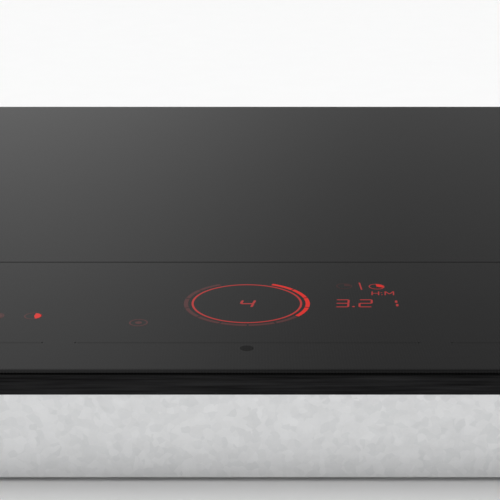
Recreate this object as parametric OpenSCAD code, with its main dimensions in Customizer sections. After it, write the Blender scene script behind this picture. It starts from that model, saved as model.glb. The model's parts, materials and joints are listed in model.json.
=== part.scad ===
// Built-in induction hob: a glass-ceramic plate with rounded edges in a black frame,
// over a galvanised housing that drops into a worktop cut-out. +Z is up, the user
// stands at -Y, and the origin is under the middle of the housing's feet.

/* [Overall] */
// Width across the frame
hob_w = 592; // [588:1:620]
// Depth across the frame
hob_d = 522; // [518:1:540]
// Depth of the housing below the worktop's surface
housing_drop = 50; // [50:1:56]

/* [Glass] */
// Thickness of the glass-ceramic plate
glass_t = 4; // [3.8:0.1:4.2]
// Height of the glass surface above the worktop
glass_rise = 9.5; // [9.4:0.1:10]
// Width of the rounded edge, seen from above
edge_run = 1.8; // [1:0.1:2.5]
// Height of the rounded edge
edge_drop = 0.9; // [0.5:0.1:1.2]
// Radius of the glass plate's corners
glass_corner_r = 3; // [2:0.5:4]

/* [Frame] */
// Thickness of the frame's outer wall
frame_wall = 1.6; // [1.4:0.1:2]
// Height of the frame's outer wall
frame_face_h = 7.9; // [7:0.1:8]
// Gap between the frame's wall and the edge of the glass
glass_gap = 0.8; // [0.4:0.1:1]

/* [Housing] */
// Width of the housing
tray_w = 552; // [550:1:554]
// Depth of the housing
tray_d = 480; // [478:1:481]
// Thickness of the sheet steel
sheet = 0.8; // [0.7:0.1:1]
// Height of the embossed feet
foot_h = 3; // [2.8:0.1:3.2]

/* [Cooking zones] */
// Distance of each coil from the centre line
coil_x = 128; // [124:1:132]
// Outer radius of a coil's winding
coil_r = 86; // [76:1:86]
// Number of turns in a winding
coil_turns = 20; // [14:1:22]

/* [Controls] */
// Distance of the ring control behind the front of the glass surface
ring_back = 73.9; // [70:0.1:76]
// Radius of the thin ring line
ring_r = 24.3; // [22:0.1:25]

/* [Clamps] */
// Height that a worktop clamp can climb on its screw
clamp_lift = 24; // [10:1:24]
// Reach of a clamp's arm from its screw
clamp_reach = 32; // [26:1:32]

/* [Hidden] */
$fn = 48;
joint_gap = 0.05;
edge_steps = 6;
worktop_z = housing_drop;
top_z = worktop_z + glass_rise;
glass_z = top_z - glass_t;
glass_w = hob_w - 2 * (frame_wall + glass_gap);
glass_d = hob_d - 2 * (frame_wall + glass_gap);
glass_front = -glass_d / 2 + edge_run;

// Frame section, as distances in from its outer face and heights above the worktop
face_foot = 0.3;
shelf_in = 30;
shelf_low = 3.2;
shelf_high = glass_rise - glass_t - 0.8;
frame_section = [
  [0, face_foot], [frame_wall, face_foot], [frame_wall, shelf_low], [shelf_in, shelf_low],
  [shelf_in, shelf_high], [frame_wall, shelf_high], [frame_wall, face_foot + frame_face_h],
  [0, face_foot + frame_face_h]
];
frame_corner_r = 2;
shelf_z = worktop_z + shelf_low;
seal_in = 3;
seal_w = 10;
bead_in = 8;
bead_w = 8;
key_in = 14;
key_w = 5;
key_leg = 34;
key_t = 1.5;
gasket_h = 2.9;

// Housing tray, with a niche for a worktop clamp at each corner
floor_z = foot_h + sheet;
tray_top_z = shelf_z - 0.3;
niche_x = 24;
niche_y = 46;
tab_z = 46;
wall_screw_z = 45;
bracket_w = 20;
bracket_t = 1.2;
bracket_foot = 8;
bracket_low_z = 40;
front_brackets = [-235, -190, 190, 235];
rear_brackets = [-235, -20, 20, 235];
side_brackets = [-100, 0, 100];
foot_spots = [[-225, -185], [225, -185], [-225, 165], [225, 165]];
vent_pitch = 6.5;
vent_w = 3;
front_vents_y = [-214, -194];

// Levels of the electronics and of the coil decks
board_z = 10;
board_t = 1.6;
parts_z = board_z + board_t;
shield_z = 36.5;
shield_t = 0.8;
spring_z = shield_z + shield_t;
deck_z = 43.5;
deck_t = 1;
ferrite_t = 4;
former_z = deck_z + deck_t + ferrite_t;
former_t = 1;
winding_z = former_z + former_t;
winding_t = 3.2;
blanket_z = winding_z + winding_t + 0.1;
glass_clear = 0.2;
coil_y = [-41, 141];
coil_eye_r = 22;
former_r = coil_r + 3;
turn_pitch = (coil_r - coil_eye_r) / coil_turns;
deck_w = 236;
deck_d = 364;
deck_y = 51;
sensor_r = 7;
ferrite_bars = 8;
ferrite_w = 15;
ferrite_l = 52;
lead_x = 22;
lead_r = 1.8;
lead_gap = 16;
spring_w = 12;
spring_l = 30;

// Power electronics: boards, heat sinks and blowers, one set on each side
board_x = [40, 250];
board_y = [-125, 105];
filter_x = [-250, -125];
filter_y = [112, 190];
aisle_x = 75;
sink_w = 60;
sink_l = 150;
sink_y = 25;
sink_z = 17;
sink_base = 4;
sink_top_z = 34;
fin_t = 1.5;
fin_count = 12;
duct_w = 66;
duct_wall = 1.2;
fan_y = 170;
fan_shell_r = 43;
fan_wall = 1.6;
fan_low_z = 4.2;
fan_high_z = 34.2;
intake_r = 26;
rotor_r = 36;
rotor_low_z = 8;
rotor_high_z = 25.4;
blade_count = 26;
shaft_r = 1.5;
// Capacitor cases on a power board: [x, y, width, depth, height]
capacitor_cases = [[135, 60, 32, 16, 22], [135, 30, 32, 16, 22], [135, 0, 32, 16, 22],
                   [135, -32, 32, 18, 20], [232, 75, 26, 12, 16], [232, 50, 26, 12, 16]];
relay_cases = [[235, -50, 20, 15, 16], [235, -75, 20, 15, 16], [205, -100, 36, 30, 21]];
can_spots = [[170, 75], [170, 50], [170, 25], [165, -95], [140, -95]];
choke_spots = [[202, 60], [202, 15], [180, -45]];
filter_cases = [[-150, 130, 32, 12, 18], [-150, 150, 32, 12, 18], [-150, 170, 32, 12, 18],
                [-232, 176, 20, 14, 16]];
filter_choke = [-205, 145];
pillar_spots = [[-264, -120], [-264, 0], [-264, 120], [264, -120], [264, 0], [264, 120],
                [-200, -225], [-70, -225], [70, -225], [200, -225],
                [0, -160], [0, -40], [0, 80], [0, 225], [160, 225], [232, 225]];

// User interface under the front of the glass
ui_w = 344;
ui_d = 94;
ui_front = -hob_d / 2 + 24.5;
ui_z = 42;
ui_board_z = 50;
ui_top_z = glass_z - glass_clear;
ring_y = glass_front + ring_back;
band_r = [26, 28.7];
icon_r = 4.2;
// Lit icons: [x, distance behind the front of the glass surface]
icon_spots = [[-108.9, 57.6], [-92.1, 57.6], [-46.5, 50.4], [45.3, 95.7], [60.5, 95.3], [68, 73]];
ribbon_x = 120;
ribbon_y = -136;

// Mains connection at the left rear
box_x = [-245, -128];
box_y = 196;
box_z = [4, 36.2];
box_wall = 1.6;
lid_x = -204;
lid_w = 78;
lid_low_z = 6;
lid_t = 1.8;
pin_y = tray_d / 2 + 2.2;
pin_z = 35.5;
pin_r = 1;
knuckle_r = 2;
ear_w = 4;
opening_w = 70;
opening_z = [8, 32];
terminal_pitch = 12.8;
terminals = 5;
gland_x = -146;
gland_z = 20;
gland_r = 10.9;
cable_r = 7;

// Worktop clamps, one in each niche
clamp_x = tray_w / 2 - niche_x / 2;
clamp_y = tray_d / 2 - 12;
screw_r = 3.1;
thread_gap = 0.08;
nut_z = 5.2;
nut_h = 6;
collar_r = 5.5;
collar_h = 3.2;
arm_t = 3;
toe_h = 4.6;
// Clamp corners: [side along x, side along y]
corners = [[1, 1], [-1, 1], [-1, -1], [1, -1]];

// ---- Shared shapes ----

// Outline of a rectangle with rounded corners
function round_rect(w, d, r, steps = 6) = [
  for (quarter = [0:3], step = [0:steps])
    let (turn = 90 * (quarter + step / steps),
         cx = (quarter == 0 || quarter == 3) ? w / 2 - r : r - w / 2,
         cy = (quarter < 2) ? d / 2 - r : r - d / 2)
    [cx + r * cos(turn), cy + r * sin(turn)]
];

// Outline of the housing with its four clamp niches, moved inwards by inset
function niched(inset) =
  let (hx = tray_w / 2 - inset, hy = tray_d / 2 - inset, nx = hx - niche_x, ny = hy - niche_y)
  [[-nx, -hy], [nx, -hy], [nx, -ny], [hx, -ny], [hx, ny], [nx, ny],
   [nx, hy], [-nx, hy], [-nx, ny], [-hx, ny], [-hx, -ny], [-nx, -ny]];

// A box between its low and its high corner
module span(low, high) {
  translate(low) cube(high - low);
}

// A box standing at a height, centred on x and y
module case_at(x, y, z, w, d, h) {
  translate([x - w / 2, y - d / 2, z]) cube([w, d, h]);
}

module both_sides() {
  children();
  mirror([1, 0, 0]) children();
}

// A rectangular ring whose outer edge is a distance in from the frame's outer face
module edge_ring(inset, band, z, h) {
  w = hob_w - 2 * inset;
  d = hob_d - 2 * inset;
  difference() {
    case_at(0, 0, z, w, d, h);
    case_at(0, 0, z - 1, w - 2 * band, d - 2 * band, h + 2);
  }
}

// A flat ring with a round hole
module washer(r_out, r_in, z, h) {
  translate([0, 0, z]) difference() {
    cylinder(r = r_out, h = h);
    translate([0, 0, -1]) cylinder(r = r_in, h = h + 2);
  }
}

// A rod along +Y
module rod_y(x, y, z, r, length) {
  translate([x, y, z]) rotate([-90, 0, 0]) cylinder(r = r, h = length);
}

// A rod along +X
module rod_x(x, y, z, r, length) {
  translate([x, y, z]) rotate([0, 90, 0]) cylinder(r = r, h = length);
}

// A bent leaf spring that stands on the shield plate and reaches up by rise
module leaf_spring(x, y, rise) {
  leaf = 0.6;
  end = spring_l / 2;
  foot = 4.5;
  translate([x, y, spring_z + joint_gap])
    rotate([90, 0, 0])
      linear_extrude(height = spring_w, center = true)
        polygon([[-end, 0], [-foot, 0], [foot + 1, rise - leaf], [end, rise - leaf],
                 [end, rise], [foot, rise], [-foot - 1, leaf], [-end, leaf]]);
}

// ---- Glass, frame and seals ----

module glass_plate() {
  color("#2b2b2d")
    hull() {
      translate([0, 0, glass_z])
        linear_extrude(glass_t - edge_drop) polygon(round_rect(glass_w, glass_d, glass_corner_r));
      for (step = [1:edge_steps]) {
        turn = 90 * step / edge_steps;
        inset = edge_run * (1 - cos(turn));
        layer = 0.01;
        translate([0, 0, top_z - edge_drop * (1 - sin(turn)) - layer])
          linear_extrude(layer)
            polygon(round_rect(glass_w - 2 * inset, glass_d - 2 * inset, glass_corner_r));
      }
    }
}

// One mitred length of the frame along X, with its outer face at y = -half
module frame_side(length, half) {
  reach = shelf_in + 5;
  intersection() {
    difference() {
      rotate([90, 0, 90])
        linear_extrude(height = length, center = true)
          polygon([for (p = frame_section) [p[0] - half, p[1] + worktop_z]]);
      both_sides()
        translate([length / 2 - joint_gap, -half, worktop_z - 1])
          linear_extrude(glass_rise + 2)
            polygon([[1, -1], [1, reach], [-reach, reach]]);
    }
    translate([0, 0, worktop_z - 1])
      linear_extrude(glass_rise + 2) polygon(round_rect(length, 2 * half, frame_corner_r));
  }
}

module frame_front() {
  color("#1d1d1f") frame_side(hob_w, hob_d / 2);
}

module frame_rear() {
  color("#1d1d1f") rotate([0, 0, 180]) frame_side(hob_w, hob_d / 2);
}

module frame_left() {
  color("#1d1d1f") rotate([0, 0, -90]) frame_side(hob_d, hob_w / 2);
}

module frame_right() {
  color("#1d1d1f") rotate([0, 0, 90]) frame_side(hob_d, hob_w / 2);
}

module frame_corner_keys() {
  color("#8f9294")
    for (c = corners)
      scale([c[0], c[1], 1])
        translate([hob_w / 2 - key_in, hob_d / 2 - key_in, shelf_z - key_t - joint_gap])
          union() {
            translate([-key_leg, -key_w, 0]) cube([key_leg, key_w, key_t]);
            translate([-key_w, -key_leg, 0]) cube([key_w, key_leg, key_t]);
          }
}

// The bead that the glass lies on, and the gasket between its edge and the frame's wall
module glass_adhesive() {
  foot = worktop_z + shelf_high;
  color("#101010") {
    edge_ring(bead_in, bead_w, foot, glass_z - foot);
    edge_ring(frame_wall + joint_gap, glass_gap - 2 * joint_gap, foot, gasket_h);
  }
}

module worktop_seal() {
  color("#161616") edge_ring(seal_in, seal_w, worktop_z, shelf_low);
}

// An angle bracket that hangs the front wall of a housing of the given depth
module bracket(x, depth) {
  wall_y = -depth / 2 + sheet + joint_gap;
  difference() {
    union() {
      span([x - bracket_w / 2, wall_y, bracket_low_z],
           [x + bracket_w / 2, wall_y + bracket_t, shelf_z - joint_gap]);
      span([x - bracket_w / 2, wall_y, shelf_z - bracket_t],
           [x + bracket_w / 2, wall_y + bracket_foot, shelf_z - joint_gap]);
    }
    rod_y(x, wall_y - 1, wall_screw_z, 1.8, 4);
  }
}

module wall_screw(x, depth) {
  wall_y = -depth / 2;
  rod_y(x, wall_y - 1.8, wall_screw_z, 3.4, 1.75);
  rod_y(x, wall_y - 0.06, wall_screw_z, 1.65, 7);
}

// Places its children on every bracket position: child 0 on depth, child 1 on width
module on_walls() {
  for (x = front_brackets) translate([x, 0, 0]) children(0);
  for (x = rear_brackets) rotate([0, 0, 180]) translate([x, 0, 0]) children(0);
  for (y = side_brackets, turn = [90, -90]) rotate([0, 0, turn]) translate([y, 0, 0]) children(1);
}

module frame_brackets() {
  color("#9a9da0")
    on_walls() {
      bracket(0, tray_d);
      bracket(0, tray_w);
    }
}

module housing_screws() {
  color("#c9ccce")
    on_walls() {
      wall_screw(0, tray_d);
      wall_screw(0, tray_w);
    }
}

// ---- Housing ----

// Slots side by side along x, cut through a wall at y = 0 or through the floor
module vent_row(count, depth, low_z, high_z) {
  for (i = [0:count - 1])
    translate([(i - (count - 1) / 2) * vent_pitch - vent_w / 2, 0, low_z])
      cube([vent_w, depth, high_z - low_z]);
}

module housing_tray() {
  color("#b9bcbd")
    difference() {
      union() {
        translate([0, 0, foot_h]) difference() {
          linear_extrude(tray_top_z - foot_h) polygon(niched(0));
          translate([0, 0, sheet]) linear_extrude(tray_top_z) polygon(niched(sheet));
        }
        // Floor and top tab of each clamp niche
        for (c = corners, z = [foot_h, tab_z])
          scale([c[0], c[1], 1])
            translate([tray_w / 2 - niche_x - sheet, tray_d / 2 - niche_y - sheet, z])
              cube([niche_x + sheet, niche_y + sheet, sheet]);
        // Embossed feet
        for (spot = foot_spots)
          translate([spot[0], spot[1], 0]) cylinder(r1 = 9, r2 = 11, h = foot_h + 0.1);
        // Ears for the terminal lid's pin
        for (side = [-1, 1])
          case_at(lid_x + side * (lid_w / 2 + ear_w / 2 + 0.5), tray_d / 2 + 2, pin_z - 2.5, ear_w, 4.4, 5);
      }
      for (spot = foot_spots)
        translate([spot[0], spot[1], sheet]) cylinder(r1 = 8.2, r2 = 10.4, h = foot_h + 0.1);
      for (c = corners)
        translate([c[0] * clamp_x, c[1] * clamp_y, 1]) cylinder(r = screw_r + 0.3, h = tab_z + 2);
      on_walls() {
        rod_y(0, -tray_d / 2 - 1, wall_screw_z, 1.8, 3);
        rod_y(0, -tray_w / 2 - 1, wall_screw_z, 1.8, 3);
      }
      // Warm air leaves through the floor at the front and through the side walls
      for (side = [-1, 1])
        translate([side * aisle_x, front_vents_y[0], 0])
          vent_row(14, front_vents_y[1] - front_vents_y[0], 2, 5);
      for (turn = [90, -90])
        rotate([0, 0, turn]) translate([0, -tray_w / 2 - 1, 0]) vent_row(20, 4, 14, 30);
      // Cool air enters through the floor under each blower
      for (side = [-1, 1], i = [-3:3]) {
        chord = sqrt(pow(intake_r, 2) - pow(i * vent_pitch, 2));
        case_at(side * aisle_x + i * vent_pitch, fan_y, 2, vent_w + 0.6, 2 * chord, 3);
      }
      // Mains terminals and cable gland
      span([lid_x - opening_w / 2, tray_d / 2 - 2, opening_z[0]],
           [lid_x + opening_w / 2, tray_d / 2 + 1, opening_z[1]]);
      rod_y(gland_x, tray_d / 2 - 2, gland_z, gland_r + 0.2, 4);
      rod_x(lid_x - lid_w, pin_y, pin_z, pin_r + 0.02, 2 * lid_w);
    }
}

module shield_plate() {
  color("#a9adb0")
    difference() {
      translate([0, 0, shield_z]) linear_extrude(shield_t) polygon(niched(3));
      for (side = [-1, 1], bend = [-1, 1])
        translate([side * lead_x, deck_y + bend * lead_gap / 2, shield_z - 1]) cylinder(r = 4, h = 3);
      case_at(ribbon_x, ribbon_y, shield_z - 1, 22, 5, 3);
    }
}

module standoffs() {
  color("#c4b27a") {
    for (spot = pillar_spots)
      translate([spot[0], spot[1], floor_z]) cylinder(r = 4, h = shield_z - floor_z - joint_gap, $fn = 6);
    both_sides()
      for (x = [board_x[0] + 6, 115, board_x[1] - 6], y = [board_y[0] + 6, board_y[1] - 6])
        translate([x, y, floor_z]) cylinder(r = 3, h = board_z - floor_z, $fn = 6);
    for (x = [filter_x[0] + 6, filter_x[1] - 6], y = [filter_y[0] + 6, filter_y[1] - 6])
      translate([x, y, floor_z]) cylinder(r = 3, h = board_z - floor_z, $fn = 6);
  }
}

// ---- Coil decks ----

module on_coils(side) {
  for (y = coil_y) translate([side * coil_x, y, 0]) children();
}

// The spot where a coil's lead passes through the deck: bend is -1 for the front coil
function lead_y(bend) = deck_y + bend * lead_gap / 2;

module coil_deck(side) {
  color("#b4b8bb")
    difference() {
      case_at(side * coil_x, deck_y, deck_z, deck_w, deck_d, deck_t);
      on_coils(side) translate([0, 0, deck_z - 1]) cylinder(r = sensor_r + 1, h = 3);
      for (bend = [-1, 1]) translate([side * lead_x, lead_y(bend), deck_z - 1]) cylinder(r = 4, h = 3);
    }
}

module coil_formers(side) {
  color("#3a2f28") on_coils(side) washer(former_r, sensor_r + 1, former_z, former_t);
}

module coil_windings(side) {
  color("#b5703c")
    on_coils(side)
      for (turn = [0:coil_turns - 1])
        washer(coil_eye_r + (turn + 0.92) * turn_pitch, coil_eye_r + turn * turn_pitch, winding_z, winding_t);
}

module ferrite_bars(side) {
  color("#3b3d40")
    on_coils(side)
      for (bar = [0:ferrite_bars - 1])
        rotate([0, 0, (bar + 0.5) * 360 / ferrite_bars])
          translate([coil_eye_r + 6, -ferrite_w / 2, deck_z + deck_t])
            cube([ferrite_l, ferrite_w, ferrite_t]);
}

module coil_blankets(side) {
  color("#d9d4c8")
    on_coils(side) washer(coil_r, sensor_r + 1.5, blanket_z, glass_z - glass_clear - blanket_z);
}

module pan_sensors(side) {
  color("#d8d8d0")
    on_coils(side) {
      washer(sensor_r, 3.2, deck_z - 2, glass_z - deck_z - 1);
      translate([0, 0, deck_z + 2]) cylinder(r = 3.1, h = glass_z - glass_clear - deck_z - 2);
    }
}

module deck_springs() {
  color("#c8cbcd")
    both_sides()
      for (x = [coil_x - 100, coil_x + 100], y = [deck_y - 165, deck_y + 165])
        leaf_spring(x, y, deck_z - spring_z - 2 * joint_gap);
}

// Two leads on each side: up through the deck, then out to each coil's rim
module coil_leads() {
  lead_z = deck_z + deck_t + lead_r + 0.2;
  color("#a8432f")
    both_sides()
      for (bend = [-1, 1]) {
        coil = coil_y[bend < 0 ? 0 : 1];
        run = [coil_x - lead_x, coil - lead_y(bend)];
        translate([lead_x, lead_y(bend), parts_z - 7]) cylinder(r = lead_r, h = lead_z - parts_z + 7);
        translate([lead_x, lead_y(bend), lead_z]) sphere(r = lead_r);
        translate([lead_x, lead_y(bend), lead_z])
          rotate([0, 90, atan2(run[1], run[0])])
            cylinder(r = lead_r, h = norm(run) - former_r + 2);
      }
}

// ---- Power electronics ----

module circuit_boards() {
  color("#2f5d3a") {
    both_sides() span([board_x[0], board_y[0], board_z], [board_x[1], board_y[1], parts_z]);
    span([filter_x[0], filter_y[0], board_z], [filter_x[1], filter_y[1], parts_z]);
  }
}

module choke(x, y) {
  translate([x, y, parts_z + 6]) rotate_extrude() translate([11, 0]) circle(r = 5.8);
}

module power_components() {
  color("#24272c") {
    both_sides() {
      for (p = concat(capacitor_cases, relay_cases)) case_at(p[0], p[1], parts_z, p[2], p[3], p[4]);
      for (spot = can_spots) translate([spot[0], spot[1], parts_z]) cylinder(r = 9, h = 22);
      for (spot = choke_spots) choke(spot[0], spot[1]);
      // Power transistors clamped between the board and the heat sink
      for (y = [-30, 0, 30, 60]) case_at(aisle_x, sink_y + y - 15, parts_z, 38, 16, sink_z - parts_z - joint_gap);
    }
    for (p = filter_cases) case_at(p[0], p[1], parts_z, p[2], p[3], p[4]);
    choke(filter_choke[0], filter_choke[1]);
  }
}

module heat_sinks() {
  color("#c2c5c7")
    both_sides() {
      case_at(aisle_x, sink_y, sink_z, sink_w, sink_l, sink_base);
      for (fin = [0:fin_count - 1])
        case_at(aisle_x - sink_w / 2 + fin_t / 2 + fin * (sink_w - fin_t) / (fin_count - 1), sink_y,
                sink_z, fin_t, sink_l, sink_top_z - sink_z);
    }
}

module air_ducts() {
  front = sink_y - sink_l / 2 - 2;
  rear = fan_y - fan_shell_r - 1.3;
  top = sink_top_z + 0.6;
  color("#33363a")
    both_sides()
      difference() {
        span([aisle_x - duct_w / 2, front, parts_z + 0.1], [aisle_x + duct_w / 2, rear, top + duct_wall]);
        span([aisle_x - duct_w / 2 + duct_wall, front - 1, parts_z - 1],
             [aisle_x + duct_w / 2 - duct_wall, rear + 1, top]);
      }
}

module fan_housings() {
  outlet_w = sink_w + 2;
  color("#2a2d31")
    both_sides()
      translate([aisle_x, fan_y, 0]) difference() {
        union() {
          translate([0, 0, fan_low_z]) cylinder(r = fan_shell_r, h = fan_high_z - fan_low_z);
          span([-outlet_w / 2, -fan_shell_r - 1, fan_low_z], [outlet_w / 2, 0, fan_high_z]);
        }
        translate([0, 0, fan_low_z + fan_wall])
          cylinder(r = fan_shell_r - fan_wall, h = fan_high_z - fan_low_z - 2 * fan_wall);
        span([fan_wall - outlet_w / 2, -fan_shell_r - 2, fan_low_z + fan_wall + 6],
             [outlet_w / 2 - fan_wall, 0, fan_high_z - fan_wall]);
        translate([0, 0, fan_low_z - 1]) cylinder(r = intake_r, h = fan_wall + 2);
      }
}

module fan_motors() {
  motor_top = fan_high_z - fan_wall - joint_gap;
  color("#5a5d61")
    both_sides()
      translate([aisle_x, fan_y, 0]) {
        translate([0, 0, rotor_high_z + 1]) cylinder(r = 12, h = motor_top - rotor_high_z - 1);
        translate([0, 0, rotor_low_z]) cylinder(r = shaft_r, h = rotor_high_z + 1.5 - rotor_low_z);
      }
}

module fan_rotor(side) {
  plate_t = 1.4;
  ring_t = 1.2;
  color("#4a5058")
    translate([side * aisle_x, fan_y, 0]) difference() {
      union() {
        translate([0, 0, rotor_high_z - plate_t]) cylinder(r = rotor_r, h = plate_t);
        translate([0, 0, rotor_low_z + 2]) cylinder(r = 5, h = rotor_high_z - rotor_low_z - 2);
        washer(rotor_r, rotor_r - 11, rotor_low_z, ring_t);
        for (blade = [0:blade_count - 1])
          rotate([0, 0, blade * 360 / blade_count])
            translate([rotor_r - 5.5, 0, rotor_low_z + ring_t / 2])
              rotate([0, 0, 35])
                translate([-5, -0.6, 0])
                  cube([10, 1.2, rotor_high_z - rotor_low_z - ring_t / 2 - plate_t / 2]);
      }
      translate([0, 0, rotor_low_z]) cylinder(r = shaft_r + joint_gap, h = rotor_high_z);
    }
}

// ---- User interface ----

module ui_carrier() {
  wall = 1.6;
  color("#2b2e31")
    translate([0, ui_front + ui_d / 2, 0]) difference() {
      case_at(0, 0, ui_z, ui_w, ui_d, ui_board_z - ui_z - joint_gap);
      case_at(0, 0, ui_z + wall, ui_w - 2 * wall, ui_d - 2 * wall, ui_board_z);
    }
}

module ui_board() {
  color("#2f5d3a") case_at(0, ui_front + ui_d / 2, ui_board_z, ui_w - 2, ui_d - 2, board_t);
}

module ui_light_guides() {
  low = ui_board_z + board_t;
  color("#e8e4da") {
    translate([0, ring_y, 0]) {
      washer(band_r[1], band_r[0], low, ui_top_z - low);
      washer(ring_r + 0.8, ring_r - 0.8, low, ui_top_z - low);
    }
    for (spot = icon_spots)
      translate([spot[0], spot[1] + glass_front, low]) cylinder(r = icon_r, h = ui_top_z - low);
  }
}

module ui_displays() {
  low = ui_board_z + board_t;
  color("#3c3c3f") {
    case_at(0, ring_y, low, 14, 18, ui_top_z - low);
    case_at(48.4, ring_y - 1, low, 24, 17, ui_top_z - low);
  }
}

module ui_springs() {
  color("#c8cbcd")
    for (x = [-140, -50, 50, 140], y = [ui_front + 18, ui_front + ui_d - 18])
      leaf_spring(x, y, ui_z - spring_z - 2 * joint_gap);
}

module ui_ribbon() {
  tape = 0.6;
  wide = 14;
  rear = ui_front + ui_d;
  color("#8d9196") {
    case_at(ribbon_x, ribbon_y, parts_z + 1, wide, tape, ui_board_z - parts_z);
    span([ribbon_x - wide / 2, rear + joint_gap, ui_board_z + 1 - tape],
         [ribbon_x + wide / 2, ribbon_y + tape / 2, ui_board_z + 1]);
    span([ribbon_x - wide / 2, ribbon_y - tape / 2, parts_z + 1],
         [ribbon_x + wide / 2, board_y[0] + 6, parts_z + 1 + tape]);
  }
}

// ---- Mains connection ----

module terminal_box() {
  color("#3a3d40")
    difference() {
      span([box_x[0], box_y, box_z[0]], [box_x[1], tray_d / 2 - sheet - joint_gap, box_z[1]]);
      span([box_x[0] + box_wall, box_y + box_wall, box_z[0] + box_wall],
           [box_x[1] - box_wall, tray_d / 2 - sheet - box_wall, box_z[1] - box_wall]);
      span([lid_x - opening_w / 2, tray_d / 2 - 8, opening_z[0]],
           [lid_x + opening_w / 2, tray_d / 2, opening_z[1]]);
      rod_y(gland_x, tray_d / 2 - 8, gland_z, gland_r + 0.2, 10);
      for (way = [0:terminals - 1])
        rod_y(lid_x + (way - (terminals - 1) / 2) * terminal_pitch, box_y - 1, 16, 2.2, 4);
    }
}

module terminal_block() {
  color("#d9d2bd")
    difference() {
      case_at(lid_x, 206, box_z[0] + box_wall + joint_gap, terminals * terminal_pitch, 14, 18);
      for (way = [0:terminals - 1]) {
        rod_y(lid_x + (way - (terminals - 1) / 2) * terminal_pitch, 205, 16, 2.4, 10);
        translate([lid_x + (way - (terminals - 1) / 2) * terminal_pitch, 206, 17])
          cylinder(r = 2.6, h = 10);
      }
    }
}

module terminal_lid() {
  color("#3a3d40")
    difference() {
      union() {
        span([lid_x - lid_w / 2, pin_y - 0.4, lid_low_z], [lid_x + lid_w / 2, pin_y - 0.4 + lid_t, pin_z]);
        rod_x(lid_x - lid_w / 2, pin_y, pin_z, knuckle_r, lid_w);
        case_at(lid_x, pin_y - 0.4 + lid_t + 0.4, lid_low_z, 18, 1, 2);
      }
      rod_x(lid_x - lid_w, pin_y, pin_z, pin_r + 0.06, 2 * lid_w);
    }
}

module lid_hinge_pin() {
  color("#c8cbcd") rod_x(lid_x - lid_w / 2 - ear_w, pin_y, pin_z, pin_r, lid_w + 2 * ear_w);
}

module cable_gland() {
  inner_end = tray_d / 2 - 24;
  color("#26282b")
    difference() {
      union() {
        rod_y(gland_x, inner_end, gland_z, gland_r, 24.2);
        translate([gland_x, tray_d / 2 + joint_gap, gland_z])
          rotate([-90, 0, 0]) cylinder(r = 14, h = 3.4, $fn = 6);
      }
      rod_y(gland_x, inner_end - 1, gland_z, cable_r, 30);
    }
}

module gland_nut() {
  color("#26282b")
    difference() {
      translate([gland_x, tray_d / 2 - 8, gland_z]) rotate([-90, 0, 0]) cylinder(r = 13.5, h = 5, $fn = 6);
      rod_y(gland_x, tray_d / 2 - 9, gland_z, gland_r + joint_gap, 8);
    }
}

module mains_wires() {
  color("#5b4a3f")
    for (way = [0:terminals - 1]) {
      x = lid_x + (way - (terminals - 1) / 2) * terminal_pitch;
      rod_y(x, filter_y[1] - 4, 16, 1.7, box_y - filter_y[1] + 6.9);
      translate([x, filter_y[1] - 4, 16]) sphere(r = 1.7);
      translate([x, filter_y[1] - 4, parts_z]) cylinder(r = 1.7, h = 16 - parts_z);
    }
}

// ---- Worktop clamps ----

module in_niche(c) {
  translate([c[0] * clamp_x, c[1] * clamp_y, 0]) scale([c[0], c[1], 1]) children();
}

// Drawn for the right rear corner and mirrored into the others
module clamp_screw(c) {
  head_h = 2.4;
  color("#d2d4d6")
    in_niche(c) difference() {
      union() {
        translate([0, 0, foot_h - head_h - joint_gap]) cylinder(r = 6, h = head_h);
        translate([0, 0, foot_h - 0.2]) cylinder(r = screw_r, h = tab_z + 2 - foot_h);
        translate([0, 0, floor_z + joint_gap]) cylinder(r = 5, h = nut_z - floor_z - 0.4);
      }
      translate([0, 0, foot_h - head_h - 1]) cylinder(r = 2.9, h = 2.6, $fn = 6);
    }
}

module clamp_nut(c) {
  back = -niche_x / 2 + 0.4;
  top = nut_z + nut_h;
  color("#8f9294")
    in_niche(c) difference() {
      union() {
        span([back, -8, nut_z], [7, 8, top]);
        translate([0, 0, top - 0.1]) cylinder(r = collar_r, h = collar_h + 0.2);
        translate([0, 0, top + collar_h]) cylinder(r = collar_r + 2, h = 0.9);
      }
      translate([0, 0, nut_z - 1]) cylinder(r = screw_r + thread_gap, h = nut_h + collar_h + 3);
    }
}

module clamp_arm(c) {
  low = nut_z + nut_h + 0.1;
  half_w = 6;
  color("#a9adb0")
    in_niche(c) difference() {
      union() {
        translate([0, 0, low]) cylinder(r = 9, h = arm_t);
        span([-half_w, -clamp_reach, low], [half_w, 0, low + arm_t]);
        span([-half_w, -clamp_reach, low], [half_w, 5 - clamp_reach, low + arm_t + toe_h]);
      }
      translate([0, 0, low - 1]) cylinder(r = collar_r + thread_gap, h = arm_t + 2);
    }
}

glass_plate();
frame_front();
frame_rear();
frame_left();
frame_right();
frame_corner_keys();
glass_adhesive();
worktop_seal();
frame_brackets();
housing_tray();
housing_screws();
shield_plate();
standoffs();
coil_deck(-1);  // coil_deck_left
coil_formers(-1);  // coil_formers_left
coil_windings(-1);  // coil_windings_left
ferrite_bars(-1);  // ferrite_bars_left
coil_blankets(-1);  // coil_blankets_left
pan_sensors(-1);  // pan_sensors_left
coil_deck(1);  // coil_deck_right
coil_formers(1);  // coil_formers_right
coil_windings(1);  // coil_windings_right
ferrite_bars(1);  // ferrite_bars_right
coil_blankets(1);  // coil_blankets_right
pan_sensors(1);  // pan_sensors_right
deck_springs();
coil_leads();
circuit_boards();
power_components();
heat_sinks();
air_ducts();
fan_housings();
fan_motors();
fan_rotor(-1);  // fan_rotor_left
fan_rotor(1);  // fan_rotor_right
ui_carrier();
ui_board();
ui_light_guides();
ui_displays();
ui_springs();
ui_ribbon();
terminal_box();
terminal_block();
terminal_lid();
lid_hinge_pin();
cable_gland();
gland_nut();
mains_wires();
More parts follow.
